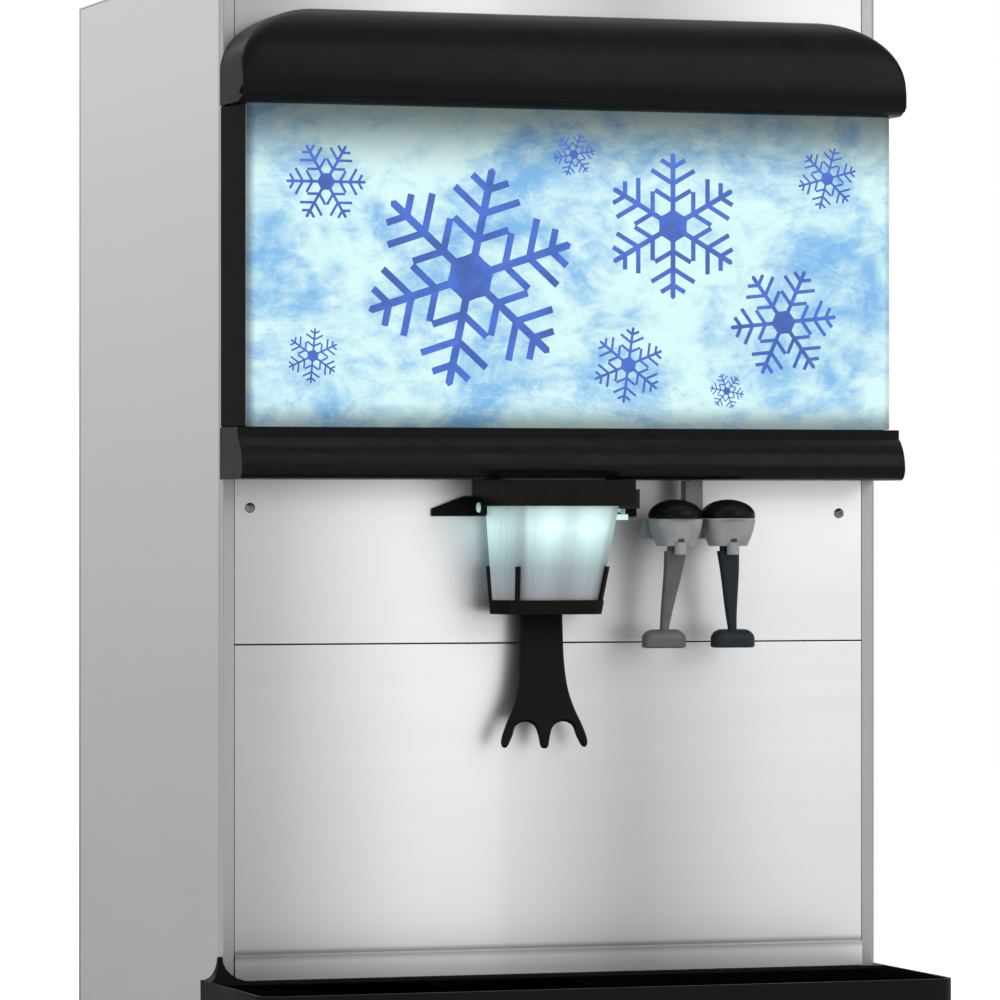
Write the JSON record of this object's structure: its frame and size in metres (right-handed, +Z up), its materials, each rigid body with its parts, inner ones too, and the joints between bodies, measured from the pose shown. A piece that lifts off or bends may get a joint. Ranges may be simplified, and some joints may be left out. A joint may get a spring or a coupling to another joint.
{
  "type": "countertop ice dispenser",
  "caption": "Stainless cabinet on short legs that holds ice in an insulated hopper and drops it through a push-lever chute, with push-lever water valves, a lit sign and a drip tray.",
  "frame": {"origin": "on the counter, under the middle of the whole machine's box, drip tray included", "axes": "+X to the right seen from the front, -Y to the front, +Z up"},
  "size_m": [0.577, 0.606, 1.0103],
  "materials": {
    "stainless_front": "brushed stainless steel",
    "stainless_side": "brushed stainless steel, slightly duller",
    "galvanised_steel": "galvanised sheet",
    "leg_steel": "polished cast leg",
    "foot_rubber": "moulded black rubber",
    "white_liner": "food-grade white liner",
    "insulation_foam": "foamed-in-place insulation",
    "white_plastic": "white moulded plastic",
    "white_painted_sheet": "white painted sheet",
    "cast_housing": "grey painted casting",
    "dark_metal": "dark enamel",
    "bronze_bush": "sintered bronze",
    "bright_steel": "bright stainless bar",
    "black_gloss": "satin black vacuum-formed plastic",
    "black_plastic": "fine-grained black moulded plastic",
    "lever_black": "black moulded plastic",
    "switch_black": "black moulded plastic",
    "clear_plastic": "frosted clear moulded plastic with ribs",
    "sign_lens": "backlit acrylic panel, printed with frost in icy blues",
    "lamp_tube": "opal lamp tube",
    "valve_grey": "grey moulded plastic",
    "tray_black": "satin black moulded plastic"
  },
  "bodies": {
    "cabinet": {"base_pan": "galvanised_steel", "side_panel_left": "stainless_side", "side_panel_right": "stainless_side", "back_panel": "stainless_side", "front_top_panel": "stainless_front", "upper_splash_panel": "stainless_front", "lower_splash_panel": "stainless_front", "top_panel": "stainless_front", "leg_front_left": "leg_steel", "leg_front_right": "leg_steel", "leg_rear_left": "leg_steel", "leg_rear_right": "leg_steel", "foot_front_left": "foot_rubber", "foot_front_right": "foot_rubber", "foot_rear_left": "foot_rubber", "foot_rear_right": "foot_rubber", "hopper_tub": "white_liner", "foam_jacket": "insulation_foam", "drop_throat": "white_liner", "hopper_drain_tube": "white_plastic", "gearbox": "cast_housing", "drive_motor": "dark_metal", "shaft_bearing": "bronze_bush", "sign_tray": "white_painted_sheet", "sign_hood": "black_gloss", "sign_rail": "black_gloss", "sign_frame_left": "black_plastic", "sign_frame_right": "black_plastic", "sign_lens": "sign_lens", "lamp_upper": "lamp_tube", "lamp_lower": "lamp_tube", "lamp_holder_left": "white_plastic", "lamp_holder_right": "white_plastic", "lamp_driver": "dark_metal", "chute_bracket": "black_plastic", "chute_spring": "bright_steel", "microswitch": "switch_black", "water_manifold": "valve_grey", "valve_body_left": "valve_grey", "valve_body_right": "valve_grey", "valve_cap_left": "black_plastic", "valve_cap_right": "black_plastic", "water_line": "bright_steel", "control_box": "galvanised_steel", "control_box_cover": "galvanised_steel", "cord_gland": "switch_black", "switch_bezel": "switch_black", "drip_tray": "tray_black"},
    "lid": {"hopper_lid": "black_plastic"},
    "agitator": {"drive_shaft": "bright_steel", "paddle_wheel": "white_plastic", "agitator_bar": "bright_steel"},
    "chute": {"chute_shell": "clear_plastic", "chute_lever": "lever_black"},
    "gate": {"ice_gate": "bright_steel"},
    "plunger": {"switch_plunger": "white_plastic"},
    "water_lever_left": {"water_lever_left": "valve_grey"},
    "water_lever_right": {"water_lever_right": "lever_black"},
    "rocker": {"power_rocker": "switch_black"},
    "grid": {"cup_rest": "tray_black"}
  },
  "joints": [
    {"name": "lid_lift", "type": "slide", "parent": "cabinet", "child": "lid", "axis": [0, 0, 1], "range_m": [0, 0.3]},
    {"name": "agitator_spin", "type": "hinge", "parent": "cabinet", "child": "agitator", "pos_m": [-0.017, -0.062, 0.52], "axis": [0, 1, 0], "continuous": true},
    {"name": "chute_rock", "type": "hinge", "parent": "cabinet", "child": "chute", "pos_m": [-0.017, -0.172, 0.552], "axis": [1, 0, 0], "range_deg": [0, 6], "stiffness_Nm_per_rad": 2, "springref_deg": -17.19},
    {"name": "gate_swing", "type": "hinge", "parent": "cabinet", "child": "gate", "pos_m": [-0.017, -0.159, 0.604], "axis": [1, 0, 0], "range_deg": [-60, 0]},
    {"name": "plunger_travel", "type": "slide", "parent": "cabinet", "child": "plunger", "axis": [0, 0, -1], "range_m": [0, 0.0029]},
    {"name": "water_left_press", "type": "hinge", "parent": "cabinet", "child": "water_lever_left", "pos_m": [0.086, -0.204, 0.53], "axis": [1, 0, 0], "range_deg": [0, 12], "stiffness_Nm_per_rad": 0.3, "springref_deg": -17.19},
    {"name": "water_right_press", "type": "hinge", "parent": "cabinet", "child": "water_lever_right", "pos_m": [0.131, -0.204, 0.53], "axis": [1, 0, 0], "range_deg": [0, 12], "stiffness_Nm_per_rad": 0.3, "springref_deg": -17.19},
    {"name": "rocker_tilt", "type": "hinge", "parent": "cabinet", "child": "rocker", "pos_m": [0.2795, -0.098, 0.276], "axis": [0, 1, 0], "range_deg": [0, 16]},
    {"name": "grid_lift", "type": "slide", "parent": "cabinet", "child": "grid", "axis": [0, 0, 1], "range_m": [0, 0.12]}
  ],
  "couplings": [
    {"joint": "gate_swing", "follows": "chute_rock", "ratio": -10},
    {"joint": "plunger_travel", "follows": "chute_rock", "m_per_rad": 0.027}
  ]
}
